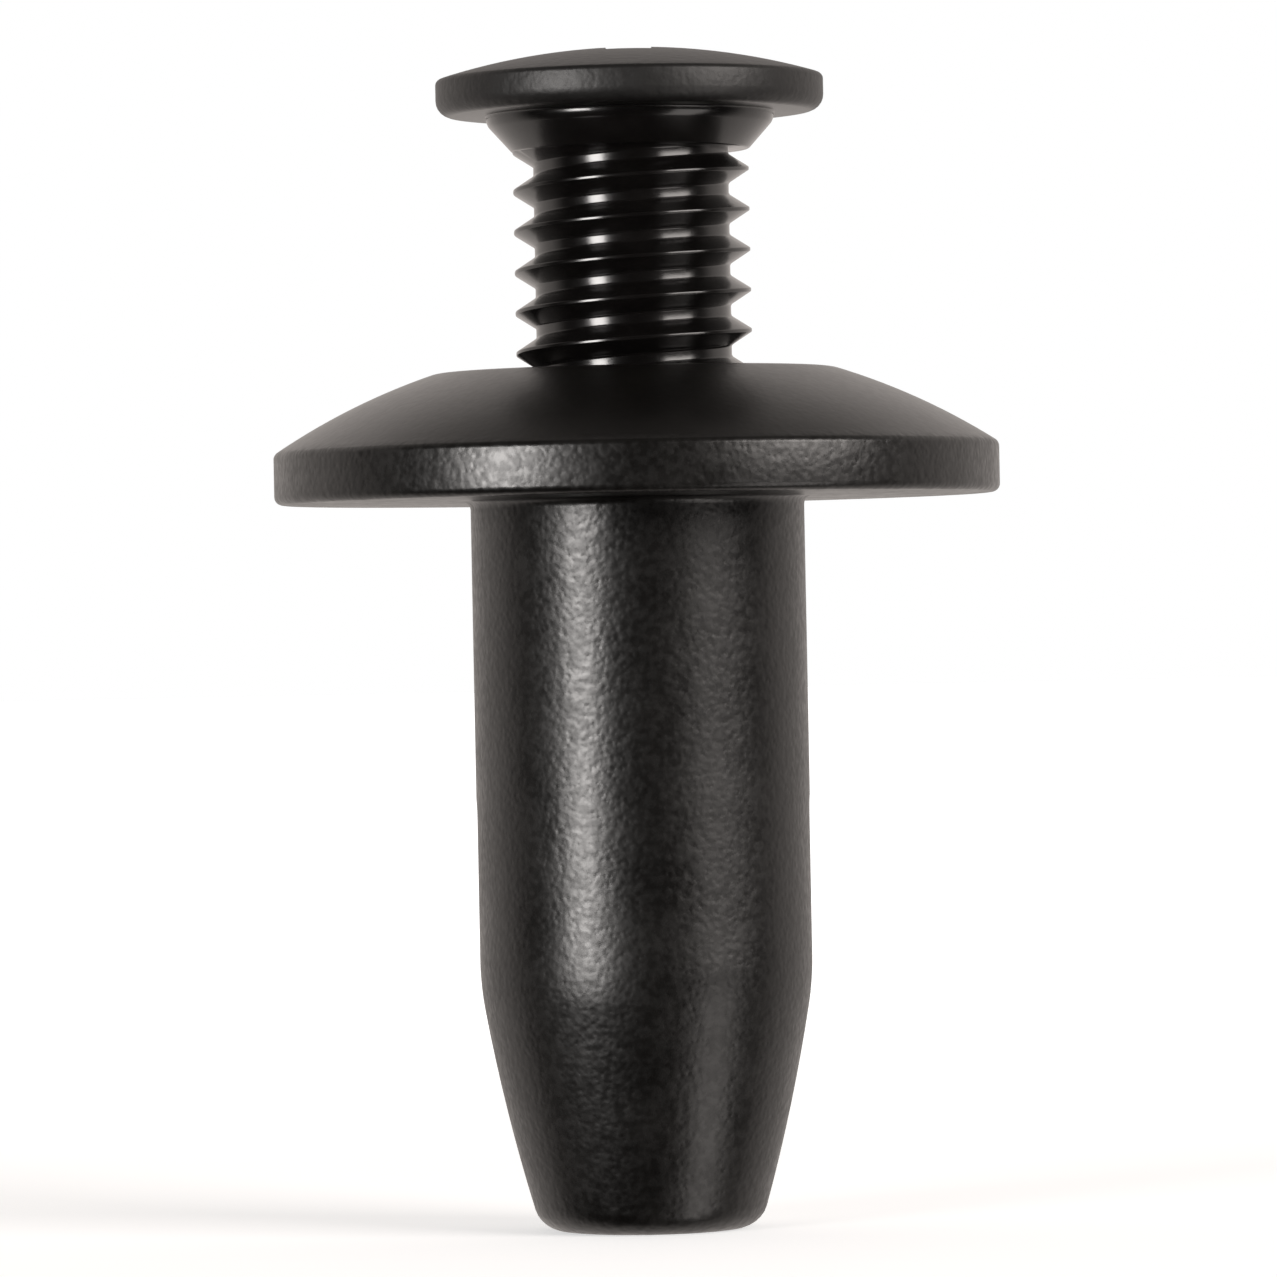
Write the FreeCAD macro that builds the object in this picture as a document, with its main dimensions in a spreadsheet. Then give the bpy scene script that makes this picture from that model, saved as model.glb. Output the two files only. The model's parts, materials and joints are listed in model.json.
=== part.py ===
# Screw-type push rivet in moulded plastic, drawn as supplied: the pin stands out of the body, ready to be
# pushed home. Millimetres, +Z up, origin at the middle of the nose's flat end.
import FreeCAD, Part
import math
import os
import re
import Sketcher


# Driving dimensions, in millimetres and degrees
SIZES = {
    # Flange of the body
    "flange_diameter": 17.4,
    "flange_rim_height": 1.2,
    "flange_dome_rise": 1.88,
    "rim_lower_bevel": 0.16,
    # Barrel and nose of the body
    "barrel_diameter": 8.0,
    "barrel_length": 17.5,
    "barrel_root_bevel": 0.2,
    "nose_length": 5.95,
    "nose_end_diameter": 5.3,
    "nose_curve_radius": 45.0,
    "nose_end_rounding": 0.7,
    # Slits that part the barrel into two legs
    "slit_width": 0.9,
    "slit_height": 10.4,
    # Head and neck of the pin
    "head_diameter": 9.3,
    "head_rim_height": 0.86,
    "head_dome_rise": 0.71,
    "head_lower_bevel": 0.22,
    "neck_diameter": 6.9,
    "neck_height": 0.88,
    # Thread, shank and tip of the pin
    "thread_diameter": 5.66,
    "thread_root_diameter": 4.68,
    "thread_pitch": 0.97,
    "thread_crest_flat": 0.05,
    "thread_root_flat": 0.25,
    "thread_turns": 10.0,
    "thread_lead_turns": 1.5,
    "thread_overrun_turns": 0.5,
    "first_groove_depth": 0.867,
    "thread_end_chamfer": 0.9,
    "shank_relief": 0.09,
    "tip_length": 5.0,
    "tip_diameter": 1.4,
    "tip_bevel": 0.15,
    # Cross recess in the pin's head
    "recess_span": 4.4,
    "recess_width": 1.1,
    "recess_floor_span": 1.9,
    "recess_floor_width": 0.75,
    "recess_depth": 2.0,
    # How the two pieces fit
    "pin_standout": 6.15,
    "tip_setback": 1.08,
    "head_seat_margin": 0.125,
    "bore_clearance": 0.1,
    "neck_clearance": 0.1,
    "tip_clearance": 0.15,
}

# Sizes that follow from the driving dimensions
DERIVED = {
    "rim_top": "barrel_length + flange_rim_height",
    "body_height": "rim_top + flange_dome_rise",
    "flange_top_diameter": "head_diameter + 2 * head_seat_margin",
    "dome_centre_drop":
        "((flange_diameter ^ 2 - flange_top_diameter ^ 2) / 4 - flange_dome_rise ^ 2) / 2 / flange_dome_rise",
    "flange_dome_radius": "sqrt(flange_diameter ^ 2 / 4 + dome_centre_drop ^ 2)",
    "shank_length": "body_height - tip_setback",
    "shank_diameter": "thread_root_diameter - 2 * shank_relief",
    "bore_radius": "thread_diameter / 2 + bore_clearance",
    "neck_slope": "(neck_diameter - thread_diameter) / 2 / neck_height",
    "seat_radius": "neck_diameter / 2 + neck_clearance",
    "seat_depth": "(seat_radius - bore_radius) / neck_slope",
    "tip_slope": "(shank_diameter - tip_diameter) / 2 / tip_length",
    "tip_hole_radius": "tip_diameter / 2 + tip_clearance",
    "cone_height": "tip_setback + (bore_radius - tip_hole_radius) / tip_slope",
    "rim_line": "shank_length + head_rim_height",
    "pin_height": "rim_line + head_dome_rise",
    "head_dome_radius": "(head_diameter ^ 2 / 4 + head_dome_rise ^ 2) / 2 / head_dome_rise",
    "neck_foot": "shank_length - neck_height",
    "groove_start": "shank_length - first_groove_depth - thread_turns * thread_pitch",
    "groove_half": "(thread_pitch - thread_crest_flat) / 2",
    "thread_foot": "groove_start + thread_lead_turns * thread_pitch",
    "thread_full": "thread_foot + thread_end_chamfer",
}

SHEET = "Sizes"
SAME_PLACE = 0.001
AXIS_LINE = -2
GROUND_LINE = -1
ORIGIN = (-1, 1)
START = 1
END = 2
CENTRE = 3


def make_sheet(doc):
    """Spreadsheet with one row for each driving and each derived size."""
    sheet = doc.addObject("Spreadsheet::Sheet", SHEET)
    rows = [(name, repr(value)) for name, value in SIZES.items()]
    rows += [(name, "=" + formula) for name, formula in DERIVED.items()]
    for row, (name, content) in enumerate(rows, start=1):
        sheet.set("A%d" % row, name)
        sheet.set("B%d" % row, content)
        sheet.setAlias("B%d" % row, name)
    doc.recompute()
    return sheet


def on_sheet(formula):
    """The formula with every size name pointed at the sheet."""
    return re.sub(r"[a-z]+_[a-z_]+", lambda found: SHEET + "." + found.group(), formula)


def value(item, formula):
    """What a formula gives now, as a plain number."""
    return float(item.evalExpression(on_sheet(formula)))


def origin_plane(body, role):
    """One of the body's own origin planes."""
    return next(plane for plane in body.Origin.OriginFeatures if plane.Role == role)


def place_point(sketch, edge, end, across, up):
    """Hold one end of a sketch edge at the place that two formulas give."""
    if across == "0":
        sketch.addConstraint(Sketcher.Constraint("PointOnObject", edge, end, AXIS_LINE))
    else:
        mark = sketch.addConstraint(
            Sketcher.Constraint("DistanceX", *ORIGIN, edge, end, value(sketch, across)))
        sketch.setExpression("Constraints[%d]" % mark, on_sheet(across))
    if up == "0":
        sketch.addConstraint(Sketcher.Constraint("PointOnObject", edge, end, GROUND_LINE))
    else:
        mark = sketch.addConstraint(
            Sketcher.Constraint("DistanceY", *ORIGIN, edge, end, value(sketch, up)))
        sketch.setExpression("Constraints[%d]" % mark, on_sheet(up))


def bulging_arc(start, end, radius):
    """Arc from start to end that turns anticlockwise, so that it bulges to the right of its chord."""
    chord = end - start
    to_left = FreeCAD.Vector(-chord.y, chord.x, 0).normalize()
    centre = (start + end) / 2 + to_left * math.sqrt(max(radius ** 2 - chord.Length ** 2 / 4, 0))
    circle = Part.Circle(centre, FreeCAD.Vector(0, 0, 1), radius)
    first, last = (math.atan2((point - centre).y, (point - centre).x) for point in (start, end))
    return Part.ArcOfCircle(circle, first, last)


def outline(body, name, role, corners, arcs=None, lift=None):
    """Closed sketch through the corners, anticlockwise, on an origin plane or lifted off it.

    corners holds a pair of formulas for each corner. arcs holds the formula of the radius for each side
    that is an arc, by the number of the corner where it starts, and None for a level half circle."""
    sketch = body.newObject("Sketcher::SketchObject", name)
    sketch.AttachmentSupport = [(origin_plane(body, role), "")]
    sketch.MapMode = "FlatFace"
    if lift:
        sketch.setExpression("AttachmentOffset.Base.z", on_sheet(lift))
    arcs = arcs or {}
    places = [FreeCAD.Vector(value(sketch, across), value(sketch, up), 0) for across, up in corners]
    for number, place in enumerate(places):
        following = places[(number + 1) % len(places)]
        if number in arcs:
            half_chord = (following - place).Length / 2
            radius = value(sketch, arcs[number]) if arcs[number] else half_chord
            sketch.addGeometry(bulging_arc(place, following, radius))
        else:
            sketch.addGeometry(Part.LineSegment(place, following))
    for number, (across, up) in enumerate(corners):
        before = (number - 1) % len(corners)
        sketch.addConstraint(Sketcher.Constraint("Coincident", before, END, number, START))
        place_point(sketch, number, START, across, up)
    for number, formula in arcs.items():
        if formula is None:
            sketch.addConstraint(Sketcher.Constraint("Horizontal", number, CENTRE, number, START))
            continue
        mark = sketch.addConstraint(Sketcher.Constraint("Radius", number, value(sketch, formula)))
        sketch.setExpression("Constraints[%d]" % mark, on_sheet(formula))
    return sketch


def revolve(body, name, profile):
    """Turn a profile once round the vertical axis."""
    feature = body.newObject("PartDesign::Revolution", name)
    feature.Profile = profile
    feature.ReferenceAxis = (profile, ["V_Axis"])
    feature.Angle = 360
    body.Document.recompute()
    return feature


def ring_edge(feature, radius, height):
    """Name of the round edge with this radius at this height."""
    for number, edge in enumerate(feature.Shape.Edges, start=1):
        ring = edge.Curve
        if not isinstance(ring, Part.Circle):
            continue
        if abs(ring.Radius - radius) < SAME_PLACE and abs(ring.Center.z - height) < SAME_PLACE:
            return "Edge%d" % number
    raise ValueError("no ring of radius %.3f at height %.3f" % (radius, height))


def finish_ring(body, name, ring_radius, ring_height, rounding=None, bevel=None):
    """Round or bevel one ring edge of the body's newest feature."""
    base = body.Tip
    edge = ring_edge(base, value(base, ring_radius), value(base, ring_height))
    feature = body.newObject("PartDesign::Fillet" if rounding else "PartDesign::Chamfer", name)
    feature.Base = (base, [edge])
    feature.setExpression("Radius" if rounding else "Size", on_sheet(rounding or bevel))
    body.Document.recompute()


def check_cut(before, feature):
    """Stop if a cutting feature left its base as it was."""
    if before - feature.Shape.Volume < SAME_PLACE:
        raise ValueError(feature.Name + " cuts nothing")


def make_rivet_body(doc):
    """Flange, split barrel and nose, moulded in one piece round the pin's bore."""
    body = doc.addObject("PartDesign::Body", "RivetBody")
    body.Label = "rivet_body"
    half_section = outline(body, "BodySection", "XZ_Plane", [
        ("tip_hole_radius", "0"),
        ("nose_end_diameter / 2", "0"),
        ("barrel_diameter / 2", "nose_length"),
        ("barrel_diameter / 2", "barrel_length"),
        ("flange_diameter / 2", "barrel_length"),
        ("flange_diameter / 2", "rim_top"),
        ("flange_top_diameter / 2", "body_height"),
        ("seat_radius", "body_height"),
        ("bore_radius", "body_height - seat_depth"),
        ("bore_radius", "cone_height"),
        ("tip_hole_radius", "tip_setback"),
    ], arcs={1: "nose_curve_radius", 5: "flange_dome_radius"})
    revolve(body, "BodyTurn", half_section)
    finish_ring(body, "NoseEnd", "nose_end_diameter / 2", "0", rounding="nose_end_rounding")
    finish_ring(body, "BarrelRoot", "barrel_diameter / 2", "barrel_length", bevel="barrel_root_bevel")
    finish_ring(body, "RimLower", "flange_diameter / 2", "barrel_length", bevel="rim_lower_bevel")
    cut_slits(body)
    return body


def cut_slits(body):
    """One straight cut right through the barrel, from the nose up to a round end, that leaves two legs."""
    uncut = body.Tip.Shape.Volume
    slit = outline(body, "SlitOutline", "YZ_Plane", [
        ("-slit_width / 2", "0 - slit_width"),
        ("slit_width / 2", "0 - slit_width"),
        ("slit_width / 2", "slit_height - slit_width / 2"),
        ("-slit_width / 2", "slit_height - slit_width / 2"),
    ], arcs={2: None})
    pocket = body.newObject("PartDesign::Pocket", "Slits")
    pocket.Profile = slit
    pocket.Type = "ThroughAll"
    pocket.Midplane = True
    body.Document.recompute()
    check_cut(uncut, pocket)


def make_threaded_pin(doc):
    """Head, neck, thread and plain tip, moulded in one piece and placed as it stands out of the body."""
    body = doc.addObject("PartDesign::Body", "ThreadedPin")
    body.Label = "threaded_pin"
    shank_section = outline(body, "ShankSection", "XZ_Plane", [
        ("0", "0"),
        ("tip_diameter / 2", "0"),
        ("shank_diameter / 2", "tip_length"),
        ("shank_diameter / 2", "thread_foot"),
        ("thread_diameter / 2", "thread_full"),
        ("thread_diameter / 2", "neck_foot"),
        ("0", "neck_foot"),
    ])
    revolve(body, "ShankTurn", shank_section)
    finish_ring(body, "TipEnd", "tip_diameter / 2", "0", bevel="tip_bevel")
    cut_thread(body)
    head_section = outline(body, "HeadSection", "XZ_Plane", [
        ("0", "neck_foot"),
        ("thread_diameter / 2", "neck_foot"),
        ("neck_diameter / 2", "shank_length"),
        ("head_diameter / 2", "shank_length"),
        ("head_diameter / 2", "rim_line"),
        ("0", "pin_height"),
    ], arcs={4: "head_dome_radius"})
    revolve(body, "HeadTurn", head_section)
    finish_ring(body, "HeadLower", "head_diameter / 2", "shank_length", bevel="head_lower_bevel")
    cut_recess(body)
    body.setExpression("Placement.Base.z", on_sheet("body_height + pin_standout - shank_length"))
    return body


def rectangle(span, width):
    """Corner formulas of a rectangle about the origin."""
    return [
        ("-%s / 2" % span, "-%s / 2" % width),
        ("%s / 2" % span, "-%s / 2" % width),
        ("%s / 2" % span, "%s / 2" % width),
        ("-%s / 2" % span, "%s / 2" % width),
    ]


def cut_recess(body):
    """Cross recess for the driver: one tapered slot, repeated a quarter turn on."""
    uncut = body.Tip.Shape.Volume
    mouth = outline(body, "RecessMouth", "XY_Plane", rectangle("recess_span", "recess_width"),
                    lift="pin_height")
    floor = outline(body, "RecessFloor", "XY_Plane", rectangle("recess_floor_span", "recess_floor_width"),
                    lift="pin_height - recess_depth")
    slot = body.newObject("PartDesign::SubtractiveLoft", "RecessSlot")
    slot.Profile = mouth
    slot.Sections = [floor]
    slot.Ruled = True
    body.Document.recompute()
    cross = body.newObject("PartDesign::PolarPattern", "RecessCross")
    cross.Originals = [slot]
    cross.Axis = (mouth, ["N_Axis"])
    cross.Angle = 90
    cross.Occurrences = 2
    body.Tip = cross
    body.Document.recompute()
    check_cut(uncut, cross)


def cut_thread(body):
    """Right-hand V groove from the free shank up into the neck, which leaves the thread standing."""
    uncut = body.Tip.Shape.Volume
    groove = outline(body, "ThreadGroove", "XZ_Plane", [
        ("thread_root_diameter / 2", "groove_start - thread_root_flat / 2"),
        ("thread_diameter / 2", "groove_start - groove_half"),
        ("neck_diameter / 2", "groove_start - groove_half"),
        ("neck_diameter / 2", "groove_start + groove_half"),
        ("thread_diameter / 2", "groove_start + groove_half"),
        ("thread_root_diameter / 2", "groove_start + thread_root_flat / 2"),
    ])
    thread = body.newObject("PartDesign::SubtractiveHelix", "Thread")
    thread.Profile = groove
    thread.ReferenceAxis = (groove, ["V_Axis"])
    thread.Mode = "pitch-turns-angle"
    thread.setExpression("Pitch", on_sheet("thread_pitch"))
    thread.setExpression("Turns", on_sheet("thread_turns + thread_overrun_turns"))
    body.Document.recompute()
    check_cut(uncut, thread)


def check_document(doc):
    """Stop if any object of the document failed without a word."""
    for item in doc.Objects:
        if "Invalid" in item.State or "Error" in item.State:
            raise ValueError("%s failed: %s" % (item.Name, item.State))


def write_part(body):
    """Write one piece to its own file, once its shape has been checked."""
    shape = body.Shape
    if shape.isNull() or not shape.isValid() or len(shape.Solids) != 1:
        raise ValueError(body.Label + " is not one valid solid")
    shape.exportStep("parts/%s.step" % body.Label)
    print("%s: %.2f mm3, %d faces" % (body.Label, shape.Volume, len(shape.Faces)))


doc = FreeCAD.newDocument("PushRivet")
make_sheet(doc)
pieces = [make_rivet_body(doc), make_threaded_pin(doc)]
doc.recompute()
check_document(doc)
os.makedirs("parts", exist_ok=True)
for piece in pieces:
    write_part(piece)
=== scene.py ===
# Looks of the screw-type push rivet: two moulded nylon pieces, stood on a pale floor in soft studio light.
# Metres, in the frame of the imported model: +Z up the rivet's axis, the nose's flat end on the floor.
import json
import math
import bpy
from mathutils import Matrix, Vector


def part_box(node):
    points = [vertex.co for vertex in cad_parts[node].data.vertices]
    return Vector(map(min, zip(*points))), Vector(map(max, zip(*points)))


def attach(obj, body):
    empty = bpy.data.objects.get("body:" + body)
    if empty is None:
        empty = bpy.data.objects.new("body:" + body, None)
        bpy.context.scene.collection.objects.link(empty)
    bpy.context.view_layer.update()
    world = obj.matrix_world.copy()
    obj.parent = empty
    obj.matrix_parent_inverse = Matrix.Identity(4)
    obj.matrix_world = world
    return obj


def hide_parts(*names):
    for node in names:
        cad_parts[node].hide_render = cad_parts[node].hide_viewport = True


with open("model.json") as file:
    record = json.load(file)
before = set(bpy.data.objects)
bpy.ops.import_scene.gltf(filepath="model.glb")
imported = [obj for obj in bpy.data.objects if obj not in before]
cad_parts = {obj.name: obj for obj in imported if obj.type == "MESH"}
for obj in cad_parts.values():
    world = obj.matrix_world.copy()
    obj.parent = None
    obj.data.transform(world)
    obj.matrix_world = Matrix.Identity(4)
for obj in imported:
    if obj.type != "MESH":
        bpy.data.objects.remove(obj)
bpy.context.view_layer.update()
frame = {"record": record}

# Split body
# The lower piece of the rivet: a domed flange on a barrel that two slits part into legs, with a blunt nose.
# It is one moulding in black nylon, and its outside has the fine grain of a spark-eroded mould.
mm = 0.001
same_place = 0.001 * mm
merge_gap = 0.0005 * mm
body_low, body_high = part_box("rivet_body")
mounts = {mount["name"]: mount for mount in frame["record"]["mounts"]}
flange_radius = -body_low.x
home_gap = 0.005 * mm
body_height = body_high.z - home_gap
seat_height = mounts["flange_seat"]["pos_m"][2]
barrel_radius = mounts["barrel"]["dims"]["r_mm"] * mm
rim_height = 1.2 * mm
rim_top = seat_height + rim_height
flat_top_radius = 4.775 * mm
nose_length = 5.95 * mm
nose_radius = 2.65 * mm
nose_curve_radius = 45 * mm
bore_radius = 2.93 * mm
seat_radius = 3.55 * mm
seat_depth = 0.88 * mm
seat_upright = 0.25 * mm
tip_hole_radius = 0.85 * mm
tip_hole_depth = 1.08 * mm
bore_end = 7.79 * mm
slit_width = 0.9 * mm
slit_height = 10.4 * mm
segments_round = 256
rounding_parts = 6
slit_end_parts = 16
nose_parts = 10
dome_parts = 14
sharpest_smooth = math.radians(28)


def bulge(start, end, radius, parts):
    """Points between start and end on an arc of this radius that bulges to the right of the way."""
    start, end = Vector(start), Vector(end)
    chord = end - start
    to_left = Vector((-chord.y, chord.x)).normalized()
    centre = (start + end) / 2 + to_left * math.sqrt(radius ** 2 - chord.length_squared / 4)
    first = math.atan2(start.y - centre.y, start.x - centre.x)
    sweep = 2 * math.asin(chord.length / 2 / radius)
    angles = [first + sweep * part / parts for part in range(1, parts)]
    return [(centre.x + radius * math.cos(angle), centre.y + radius * math.sin(angle)) for angle in angles]


def deselect_all():
    """Nothing selected and nothing in edit mode."""
    if bpy.context.object and bpy.context.object.mode != "OBJECT":
        bpy.ops.object.mode_set(mode="OBJECT")
    bpy.ops.object.select_all(action="DESELECT")


def draw_outline(name, corners, closed):
    """Wire in the XZ plane through corners of (across, up, rounding), rounded where the rounding isn't 0."""
    deselect_all()
    bpy.ops.mesh.primitive_plane_add(size=mm)
    piece = bpy.context.object
    piece.name = piece.data.name = name
    bpy.ops.object.mode_set(mode="EDIT")
    bpy.ops.mesh.merge(type="CENTER")
    places = [Vector((across, 0, up)) for across, up, rounding in corners]
    bpy.ops.transform.translate(value=places[0])
    for before, place in zip(places, places[1:] + places[:1] * closed):
        bpy.ops.mesh.extrude_region_move(TRANSFORM_OT_translate={"value": place - before})
    bpy.ops.mesh.select_all(action="SELECT")
    bpy.ops.mesh.remove_doubles(threshold=same_place)
    for place, (across, up, rounding) in zip(places, corners):
        if rounding:
            select_vertices(piece, lambda spot: (spot - place).length < same_place)
            bpy.ops.mesh.bevel(affect="VERTICES", offset=rounding, segments=rounding_parts,
                               clamp_overlap=False)
    bpy.ops.object.mode_set(mode="OBJECT")
    return piece


def select_vertices(piece, wanted):
    """Select, in edit mode, the vertices whose place is wanted."""
    bpy.ops.mesh.select_all(action="DESELECT")
    bpy.ops.object.mode_set(mode="OBJECT")
    for vertex in piece.data.vertices:
        vertex.select = wanted(vertex.co)
    bpy.ops.object.mode_set(mode="EDIT")


def finish_mesh(piece, modifier_type, **settings):
    """Add a modifier with these settings and apply it."""
    deselect_all()
    bpy.context.view_layer.objects.active = piece
    piece.select_set(True)
    modifier = piece.modifiers.new(modifier_type.title(), modifier_type)
    for setting, value in settings.items():
        setattr(modifier, setting, value)
    bpy.ops.object.modifier_apply(modifier=modifier.name)


def close_up(piece):
    """Merge doubled points and turn every face outwards."""
    bpy.ops.object.mode_set(mode="EDIT")
    bpy.ops.mesh.select_all(action="SELECT")
    bpy.ops.mesh.remove_doubles(threshold=merge_gap)
    bpy.ops.mesh.normals_make_consistent(inside=False)
    bpy.ops.object.mode_set(mode="OBJECT")


def turn(piece):
    """Turn a wire once round the rivet's axis."""
    finish_mesh(piece, "SCREW", axis="Z", steps=segments_round, render_steps=segments_round,
                use_merge_vertices=True, merge_threshold=merge_gap)
    close_up(piece)


def combine(piece, other, operation):
    """Join, cut or clip piece with the other mesh, which is used up."""
    finish_mesh(piece, "BOOLEAN", operation=operation, object=other, solver="EXACT")
    bpy.data.meshes.remove(other.data)


def smooth(piece):
    """Smooth shading that keeps the real edges sharp."""
    deselect_all()
    bpy.context.view_layer.objects.active = piece
    piece.select_set(True)
    bpy.ops.object.shade_smooth_by_angle(angle=sharpest_smooth)


dome_rise = body_height - rim_top
dome_drop = ((flange_radius ** 2 - flat_top_radius ** 2) - dome_rise ** 2) / 2 / dome_rise
dome_radius = math.hypot(flange_radius, dome_drop)
nose_arc = bulge((nose_radius, 0), (barrel_radius, nose_length), nose_curve_radius, nose_parts)
dome_arc = bulge((flange_radius, rim_top), (flat_top_radius, body_height), dome_radius, dome_parts)
body = draw_outline("split_body", [
    (tip_hole_radius, 0, 0.08 * mm),
    (nose_radius, 0, 0.55 * mm),
    *[(across, up, 0) for across, up in nose_arc],
    (barrel_radius, nose_length, 0.5 * mm),
    (barrel_radius, seat_height, 0.2 * mm),
    (flange_radius, seat_height, 0.2 * mm),
    (flange_radius, rim_top, 0.1 * mm),
    *[(across, up, 0) for across, up in dome_arc],
    (flat_top_radius, body_height, 0.12 * mm),
    (seat_radius, body_height, 0.08 * mm),
    (seat_radius, body_height - seat_upright, 0.1 * mm),
    (bore_radius, body_height - seat_depth, 0.15 * mm),
    (bore_radius, bore_end, 0.3 * mm),
    (tip_hole_radius, tip_hole_depth, 0),
], closed=True)
turn(body)
deselect_all()
bpy.ops.mesh.primitive_cube_add(size=1, location=(0, 0, slit_height / 2 - slit_width))
slit = bpy.context.object
bpy.ops.object.mode_set(mode="EDIT")
bpy.ops.transform.resize(value=(3 * barrel_radius, slit_width, slit_height + 2 * slit_width))
bpy.ops.mesh.select_all(action="DESELECT")
bpy.ops.mesh.select_mode(type="EDGE")
bpy.ops.object.mode_set(mode="OBJECT")
for edge in slit.data.edges:
    ends = [slit.data.vertices[number].co for number in edge.vertices]
    edge.select = all(end.z > 0 for end in ends) and abs(ends[0].x - ends[1].x) > barrel_radius
bpy.ops.object.mode_set(mode="EDIT")
bpy.ops.mesh.bevel(offset=slit_width / 2 - same_place, segments=slit_end_parts)
bpy.ops.mesh.select_mode(type="VERT")
bpy.ops.object.mode_set(mode="OBJECT")
combine(body, slit, "DIFFERENCE")
smooth(body)
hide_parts("rivet_body")
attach(body, "sleeve")


class Wire:
    """A shader socket or number that takes part in sums, so that a material reads as formulas."""

    def __init__(self, tree, socket=None):
        self.tree = tree
        self.socket = socket

    def node(self, kind, settings=None, output=0, **sockets):
        """Any node: its settings first, then the values or wires of its sockets."""
        node = self.tree.nodes.new(kind)
        for setting, value in (settings or {}).items():
            setattr(node, setting, value)
        for name, value in sockets.items():
            key = int(name[1:]) if name[1:].isdigit() else name.replace("_", " ")
            if isinstance(value, Wire):
                self.tree.links.new(value.socket, node.inputs[key])
            else:
                node.inputs[key].default_value = value
        return Wire(self.tree, node.outputs[output])

    def sum(self, operation, first, second):
        return self.node("ShaderNodeMath", {"operation": operation}, i0=first, i1=second)

    def __add__(self, other):
        return self.sum("ADD", self, other)

    def __radd__(self, other):
        return self.sum("ADD", other, self)

    def __rsub__(self, other):
        return self.sum("SUBTRACT", other, self)

    def __mul__(self, other):
        return self.sum("MULTIPLY", self, other)

    def __rmul__(self, other):
        return self.sum("MULTIPLY", other, self)

    def between(self, low, high):
        """0 at low and below, 1 at high and above, and smooth from one to the other."""
        return self.node("ShaderNodeMapRange", {"interpolation_type": "SMOOTHSTEP"},
                         i0=self, i1=low, i2=high)


def new_material(name):
    """Empty material with a shader and an output, and the start of its wires."""
    material = bpy.data.materials.new(name)
    material.use_nodes = True
    tree = material.node_tree
    return material, tree.nodes["Principled BSDF"], Wire(tree)


def grained_nylon():
    """Black nylon with a spark-eroded grain: pits about 0.15 mm across with finer flecks, and slow waves
    under them. Over the dome the grain is a quarter as deep."""
    grain_depth = 0.0065 * mm
    dome_fade = 0.75
    fade_low, fade_high = rim_top - 0.02 * mm, rim_top + 0.2 * mm
    least_roughness = 0.285
    dark_tone = (0.0021, 0.0018, 0.0016, 1)
    light_tone = (0.0038, 0.0034, 0.003, 1)
    material, shader, wires = new_material("grained black nylon")
    place = wires.node("ShaderNodeTexCoord", output=3)
    pits = wires.node("ShaderNodeTexVoronoi", {"feature": "SMOOTH_F1"}, i0=place, Scale=6500, Smoothness=0.8)
    flecks = wires.node("ShaderNodeTexNoise", i0=place, Scale=5000, Detail=1, Roughness=0.5)
    waves = wires.node("ShaderNodeTexNoise", i0=place, Scale=1100, Detail=1, Roughness=0.5)
    dust = wires.node("ShaderNodeTexNoise", i0=place, Scale=600, Detail=3, Roughness=0.6)
    height = wires.node("ShaderNodeSeparateXYZ", output=2, i0=place)
    on_sides = 1 - dome_fade * height.between(fade_low, fade_high)
    relief = (pits + flecks + 1.3 * waves) * on_sides
    bump = wires.node("ShaderNodeBump", Strength=1.0, Distance=grain_depth, Height=relief)
    shine = least_roughness + (0.07 * flecks.between(0.35, 0.65) + 0.06 * dust.between(0.3, 0.7)) * on_sides
    tone = wires.node("ShaderNodeMix", {"data_type": "RGBA"}, output=2, i0=dust.between(0.35, 0.75),
                      i6=dark_tone, i7=light_tone)
    shader.inputs["Specular IOR Level"].default_value = 0.5
    shader.inputs["IOR"].default_value = 1.5
    wires.tree.links.new(tone.socket, shader.inputs["Base Color"])
    wires.tree.links.new(shine.socket, shader.inputs["Roughness"])
    wires.tree.links.new(bump.socket, shader.inputs["Normal"])
    return material


body.data.materials.append(grained_nylon())

# Threaded pin
# The upper piece: a low domed head with a cross recess, a short conical neck, a right-hand V thread and a
# plain tip. It is one moulding in the same nylon, from a smoother mould, with only a light grain on its head.
pin_low, pin_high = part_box("threaded_pin")
head_radius = pin_high.x
tip_end = pin_low.z
shank_length = 19.5 * mm
underside = tip_end + shank_length
head_rim_height = 0.86 * mm
head_dome_rise = 0.71 * mm
rim_line = underside + head_rim_height
head_top = rim_line + head_dome_rise
neck_radius = 3.45 * mm
neck_foot = underside - 0.88 * mm
cone_top = underside - 0.2 * mm
neck_overhang = 0.01 * mm
crest_radius = 2.83 * mm
root_radius = 2.34 * mm
shank_radius = 2.25 * mm
tip_radius = 0.7 * mm
tip_length = 5 * mm
tip_shoulder = tip_end + tip_length
pitch = 0.97 * mm
crest_flat = 0.08 * mm
root_flat = 0.26 * mm
top_groove = underside - 0.867 * mm
groove_turns = 10
turns_to_foot = 8.5
thread_foot = top_groove - turns_to_foot * pitch
end_chamfer = 0.9 * mm
thread_full = thread_foot + end_chamfer
turn_steps = 128
flat_cut = 0.00001 * mm
blank_margin = 0.05 * mm
head_parts = 16
recess_span = 4.4 * mm
recess_width = 1.1 * mm
recess_floor_span = 1.9 * mm
recess_floor_width = 0.75 * mm
recess_depth = 2 * mm
recess_middle = head_top - recess_depth / 2

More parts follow.
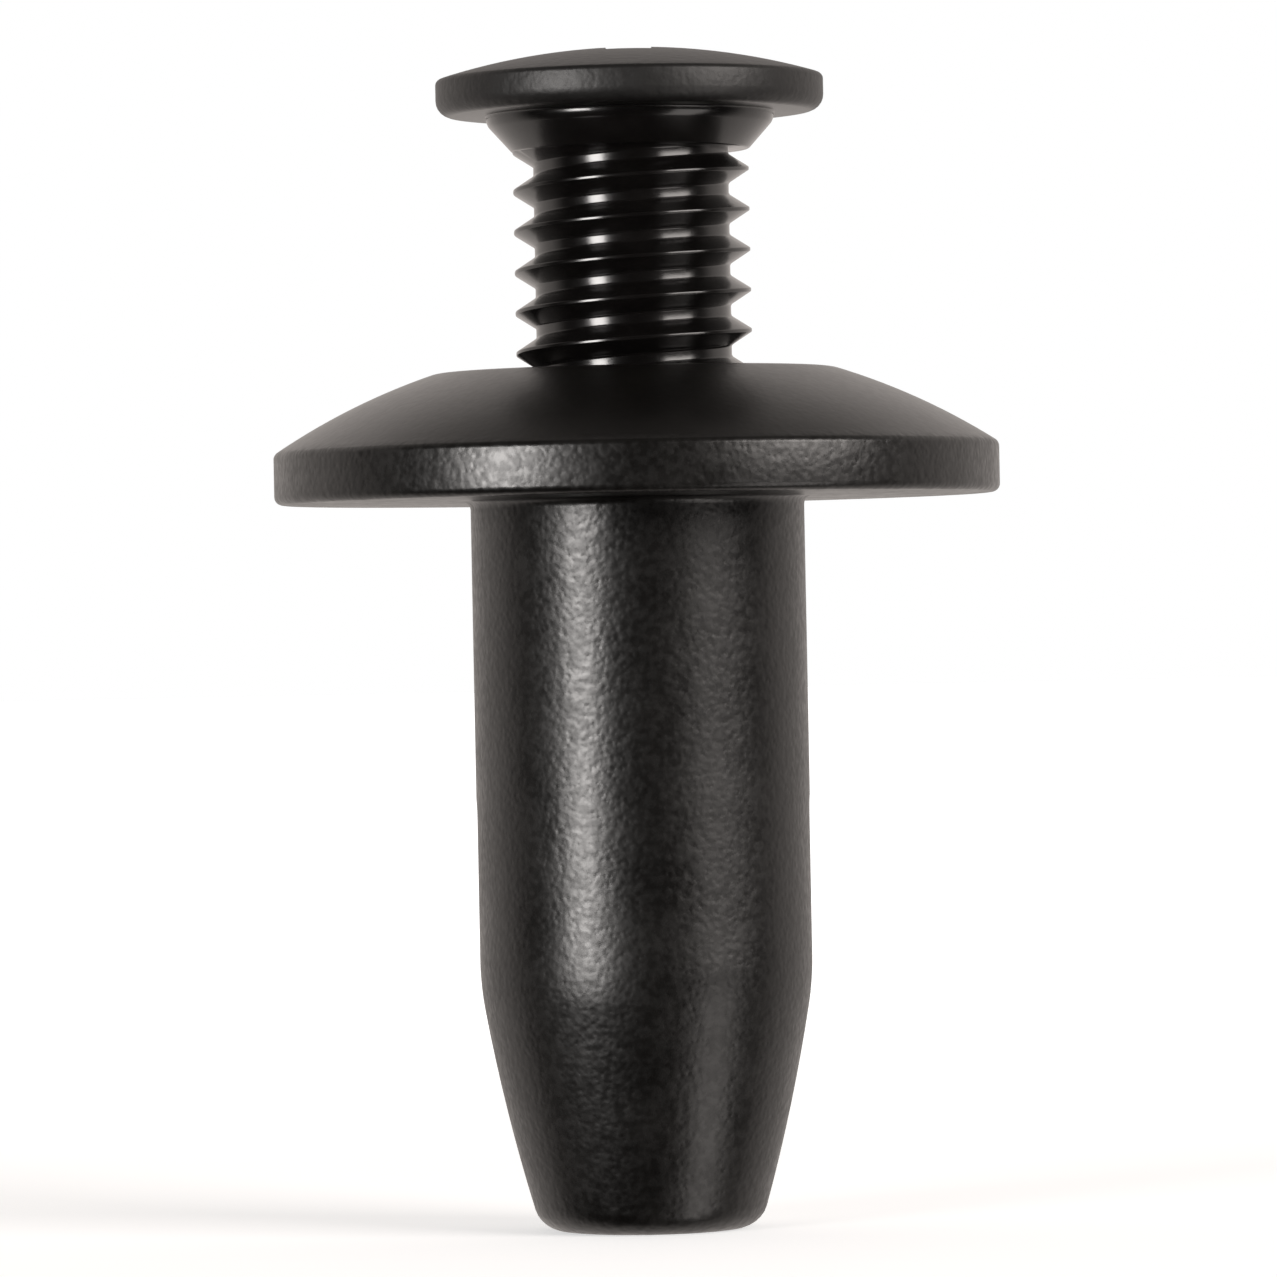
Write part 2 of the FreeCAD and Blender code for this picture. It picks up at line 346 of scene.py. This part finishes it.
head_dome_radius = (head_radius ** 2 + (head_top - rim_line) ** 2) / 2 / (head_top - rim_line)
head_arc = bulge((head_radius, rim_line), (0, head_top), head_dome_radius, head_parts)
pin = draw_outline("threaded_pin_moulding", [
    (0, tip_end, 0),
    (tip_radius, tip_end, 0.15 * mm),
    (shank_radius, tip_shoulder, 0.4 * mm),
    (shank_radius, neck_foot, 0),
    (crest_radius + neck_overhang, neck_foot, 0.05 * mm),
    (neck_radius, cone_top, 0.12 * mm),
    (neck_radius, underside, 0.06 * mm),
    (head_radius, underside, 0.38 * mm),
    (head_radius, rim_line, 0.1 * mm),
    *[(across, up, 0) for across, up in head_arc],
    (0, head_top, 0),
], closed=False)
turn(pin)

groove_start = top_groove - groove_turns * pitch
flank = (pitch - crest_flat - root_flat) / 2
thread = draw_outline("thread", [
    (root_radius, groove_start, 0),
    (root_radius, groove_start + root_flat / 2, 0.05 * mm),
    (crest_radius, groove_start + root_flat / 2 + flank, 0.02 * mm),
    (crest_radius, groove_start + root_flat / 2 + flank + crest_flat, 0.02 * mm),
    (root_radius, groove_start + pitch - root_flat / 2, 0.05 * mm),
    (root_radius, groove_start + pitch, 0),
], closed=False)
finish_mesh(thread, "SCREW", axis="Z", steps=turn_steps, render_steps=turn_steps, screw_offset=pitch,
            iterations=groove_turns + 1, use_merge_vertices=False)
close_up(thread)
for height, upwards in ((groove_start + 1.2 * pitch, -1), (cone_top, 1)):
    bpy.ops.object.mode_set(mode="EDIT")
    bpy.ops.mesh.select_all(action="SELECT")
    bpy.ops.mesh.bisect(plane_co=(0, 0, height), plane_no=(0, 0, upwards), threshold=flat_cut,
                        use_fill=True, clear_outer=True)
    bpy.ops.object.mode_set(mode="OBJECT")
close_up(thread)
blank = draw_outline("thread_blank", [
    (0, thread_foot, 0),
    (shank_radius - blank_margin, thread_foot, 0),
    (crest_radius + blank_margin, thread_full + 2 * blank_margin, 0),
    (crest_radius + blank_margin, underside, 0),
    (0, underside, 0),
], closed=False)
turn(blank)
combine(thread, blank, "INTERSECT")
combine(pin, thread, "UNION")

for quarter in (0, 1):
    deselect_all()
    bpy.ops.mesh.primitive_cube_add(size=1, location=(0, 0, recess_middle))
    arm = bpy.context.object
    bpy.ops.object.mode_set(mode="EDIT")
    ends = ((False, recess_floor_span, recess_floor_width), (True, recess_span, recess_width))
    for top, span, width in ends:
        select_vertices(arm, lambda spot: (spot.z > 0) == top)
        bpy.ops.transform.resize(value=(span, width, recess_depth), center_override=(0, 0, recess_middle))
    bpy.ops.mesh.extrude_region_move(TRANSFORM_OT_translate={"value": (0, 0, mm)})
    bpy.ops.mesh.select_all(action="SELECT")
    bpy.ops.transform.rotate(value=quarter * math.pi / 2, orient_axis="Z", center_override=(0, 0, 0))
    bpy.ops.object.mode_set(mode="OBJECT")
    combine(pin, arm, "DIFFERENCE")
close_up(pin)
smooth(pin)
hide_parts("threaded_pin")
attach(pin, "pin")


def pin_nylon():
    """The pin's nylon: polished on the thread and the neck, and lightly grained on the head."""
    fade = 0.1 * mm
    grain_depth = 0.012 * mm
    grain_below = 0.1
    polished = 0.17
    head_rougher = 0.28
    dark_tone = (0.003, 0.0027, 0.0026, 1)
    light_tone = (0.0048, 0.0044, 0.0042, 1)
    material, shader, wires = new_material("smooth black nylon")
    place = wires.node("ShaderNodeTexCoord", output=3)
    height = wires.node("ShaderNodeSeparateXYZ", output=2, i0=place)
    on_head = height.between(underside - fade, underside + fade)
    pits = wires.node("ShaderNodeTexNoise", i0=place, Scale=5500, Detail=1, Roughness=0.5)
    waves = wires.node("ShaderNodeTexNoise", i0=place, Scale=1500, Detail=2, Roughness=0.5)
    relief = (waves * 0.5 + pits) * (grain_below + 0.9 * on_head)
    bump = wires.node("ShaderNodeBump", Strength=1.0, Distance=grain_depth, Height=relief)
    shine = polished + head_rougher * on_head + 0.05 * pits
    tone = wires.node("ShaderNodeMix", {"data_type": "RGBA"}, output=2, i0=waves.between(0.3, 0.8),
                      i6=dark_tone, i7=light_tone)
    shader.inputs["Specular IOR Level"].default_value = 0.5
    shader.inputs["IOR"].default_value = 1.5
    wires.tree.links.new(tone.socket, shader.inputs["Base Color"])
    wires.tree.links.new(shine.socket, shader.inputs["Roughness"])
    wires.tree.links.new(bump.socket, shader.inputs["Normal"])
    return material


pin.data.materials.append(pin_nylon())

# Floor
# A pale, matt studio table, wide enough to fill the view. It shows nearly white to the camera and keeps the
# rivet's soft contact shadow.
floor_size = 4
glow_near = 0.55
glow_added_far = 0.5
deselect_all()
bpy.ops.mesh.primitive_plane_add(size=floor_size)
floor = bpy.context.object
floor.name = "floor"
floor_material, floor_shader, floor_wires = new_material("pale floor")
floor_shader.inputs["Base Color"].default_value = (0.82, 0.82, 0.82, 1)
floor_shader.inputs["Roughness"].default_value = 0.9
seen = floor_wires.node("ShaderNodeLightPath")
spot = floor_wires.node("ShaderNodeTexCoord", output=3)
far_off = floor_wires.node("ShaderNodeVectorMath", {"operation": "LENGTH"}, output=1, i0=spot)
glow = seen * (glow_near + glow_added_far * far_off.between(0.02, 0.15))
floor_wires.tree.links.new(glow.socket, floor_shader.inputs["Emission Strength"])
floor_shader.inputs["Emission Color"].default_value = (1, 1, 1, 1)
floor.data.materials.append(floor_material)
floor.visible_glossy = False
floor.visible_shadow = False

# Light
# A softbox on the camera's left makes the bright streaks. A low and a high fill on its right make the dim
# band, and a white sheet behind the rivet lights its edges. The room round the camera and overhead is dark.
lamp_distance = 0.5
aim_share = 0.7
energy_factor = 4


def softbox(name, azimuth, low, high, width, radiance, colour):
    """Rectangular lamp that reaches from one elevation to another. Angles are in degrees, and azimuth 0 is
    the camera's side and 90 its right."""
    turned = math.radians(azimuth)
    aim = Vector((0, 0, body_height * aim_share))
    away = Vector((math.sin(turned), -math.cos(turned), 0))
    bottom, top = (lamp_distance * math.tan(math.radians(angle)) for angle in (low, high))
    lamp = bpy.data.lights.new(name, "AREA")
    lamp.shape = "RECTANGLE"
    lamp.size = 2 * lamp_distance * math.tan(math.radians(width / 2))
    lamp.size_y = top - bottom
    lamp.energy = radiance * lamp.size * lamp.size_y * energy_factor
    lamp.color = colour
    holder = bpy.data.objects.new(name, lamp)
    holder.location = aim + away * lamp_distance + Vector((0, 0, (top + bottom) / 2))
    holder.rotation_euler = away.to_track_quat("Z", "Y").to_euler()
    bpy.context.scene.collection.objects.link(holder)


softbox("key softbox", -41.5, -8, 13, 18, 20, (1, 0.965, 0.94))
softbox("low fill", 52, -56, -12, 30, 1.9, (1, 0.94, 0.9))
softbox("high fill", 54, 5, 31, 36, 7.6, (1, 0.94, 0.9))

sheet_strength = 0.84
ceiling_strength = 0.1
ceiling_shade = 0.75
world = bpy.data.worlds.new("studio")
world.use_nodes = True
bpy.context.scene.world = world
surround = Wire(world.node_tree)
direction = surround.node("ShaderNodeTexCoord", output=0)
depth = surround.node("ShaderNodeSeparateXYZ", output=1, i0=direction)
overhead = surround.node("ShaderNodeSeparateXYZ", output=2, i0=direction).between(0.55, 0.85)
white_behind = (sheet_strength * depth.between(-0.1, 0.38) * (1 - ceiling_shade * overhead)
                + ceiling_strength * overhead)
camera_sees = surround.node("ShaderNodeLightPath")
strength = white_behind + camera_sees * (1 - white_behind)
background = world.node_tree.nodes["Background"]
tint = surround.node("ShaderNodeMix", {"data_type": "RGBA"}, output=2, i0=camera_sees,
                     i6=(1, 0.92, 0.87, 1), i7=(1, 1, 1, 1))
world.node_tree.links.new(tint.socket, background.inputs["Color"])
world.node_tree.links.new(strength.socket, background.inputs["Strength"])

# Camera
# A long lens at the height of the rivet's middle, level, and rolled by just over a degree as the photo was.
pixels = 1277
pixels_per_mm = 41.7
distance_pixels = 8000
roll = math.radians(1.13)
sensor_width = 36
camera_side = -0.036 * mm
camera_height = 14.15 * mm
lens = bpy.data.cameras.new("camera")
lens.sensor_width = sensor_width
lens.lens = sensor_width * distance_pixels / pixels
camera = bpy.data.objects.new("camera", lens)
camera.location = (camera_side, -distance_pixels / pixels_per_mm * mm, camera_height)
camera.rotation_euler = (math.pi / 2, roll, 0)
bpy.context.scene.collection.objects.link(camera)
bpy.context.scene.camera = camera
bpy.context.scene.view_settings.view_transform = "Standard"
